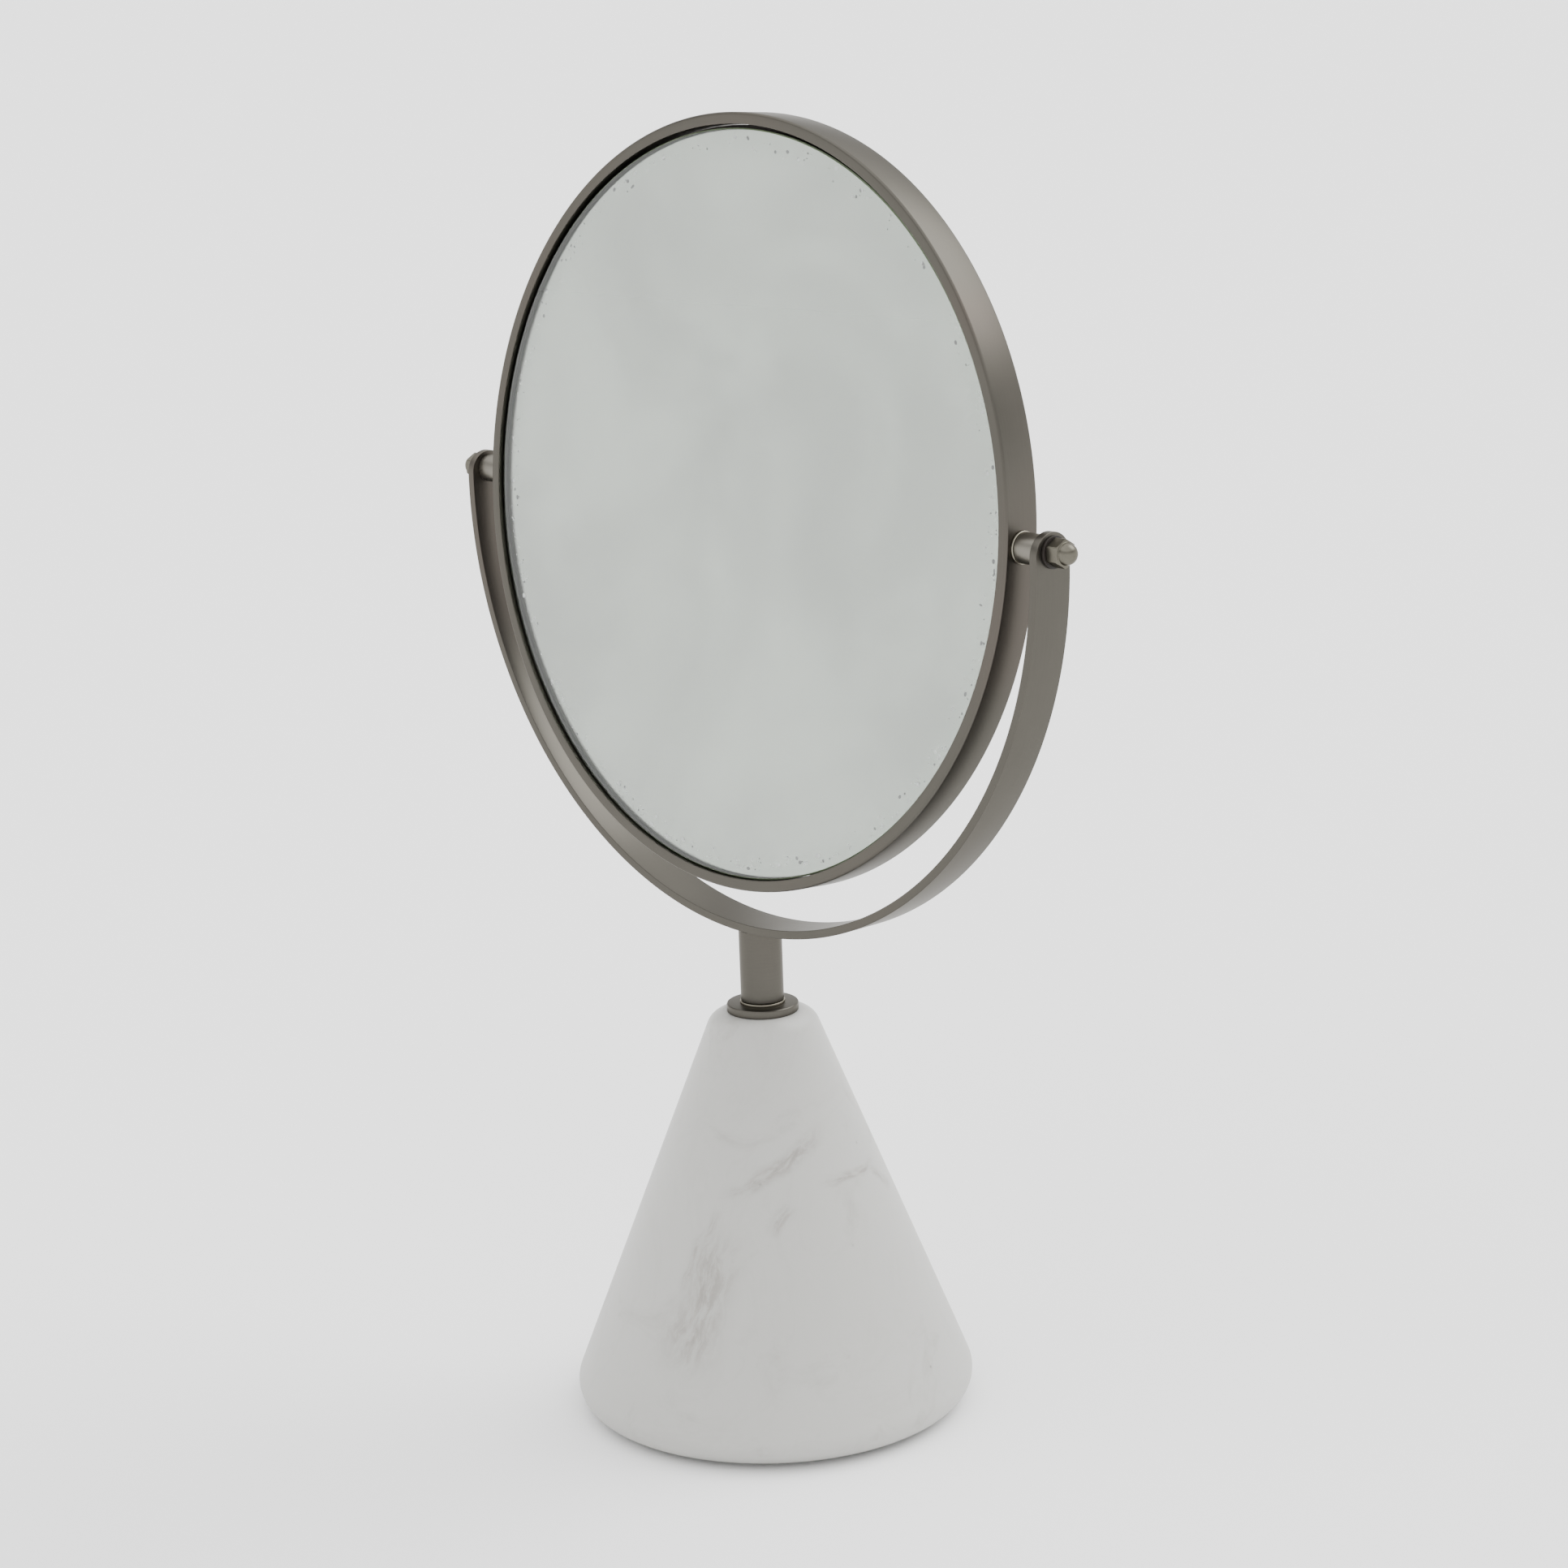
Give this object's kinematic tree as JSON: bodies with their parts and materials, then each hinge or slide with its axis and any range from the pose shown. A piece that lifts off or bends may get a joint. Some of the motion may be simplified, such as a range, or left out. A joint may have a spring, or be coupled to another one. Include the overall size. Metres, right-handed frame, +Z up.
{
  "type": "table mirror",
  "caption": "Round free-standing mirror that tilts between the arms of a flat-bar yoke, which swivels on a conical marble base.",
  "frame": {"origin": "middle of the base's underside, on the surface it stands on", "axes": "+Z up the stem; the tilt axis lies along X; the front glass faces -Y"},
  "size_m": [0.2932, 0.1342, 0.4324],
  "materials": {
    "marble": "satin",
    "satin_nickel": "satin",
    "bright_nickel": "satin",
    "zinc_steel": "satin",
    "mirror_glass": "polished",
    "black_board": "matte",
    "adhesive_foam": "matte",
    "dark_nylon": "matte",
    "felt": "matte"
  },
  "bodies": {
    "base": {"felt_pad": "felt", "marble_base": "marble", "base_flange": "satin_nickel"},
    "yoke": {"stem": "satin_nickel", "stem_washer": "bright_nickel", "tie_rod": "zinc_steel", "base_washer": "zinc_steel", "spring_washer": "zinc_steel", "base_nut": "zinc_steel", "yoke_strap": "satin_nickel", "pivot_bush_left": "dark_nylon", "pivot_bush_right": "dark_nylon"},
    "mirror": {"mirror_ring": "satin_nickel", "front_glass": "mirror_glass", "back_glass": "mirror_glass", "front_foam_pad": "adhesive_foam", "back_foam_pad": "adhesive_foam", "core_board": "black_board", "pivot_stud_left": "zinc_steel", "pivot_stud_right": "zinc_steel", "ring_washer_left": "bright_nickel", "ring_washer_right": "bright_nickel", "spacer_left": "satin_nickel", "spacer_right": "satin_nickel", "cap_nut_left": "bright_nickel", "cap_nut_right": "bright_nickel"}
  },
  "joints": [
    {"name": "swivel", "type": "hinge", "parent": "base", "child": "yoke", "pos_m": [0, 0, 0.14], "axis": [0, 0, 1], "continuous": true},
    {"name": "tilt", "type": "hinge", "parent": "yoke", "child": "mirror", "pos_m": [0, 0, 0.30736], "axis": [1, 0, 0], "continuous": true}
  ]
}
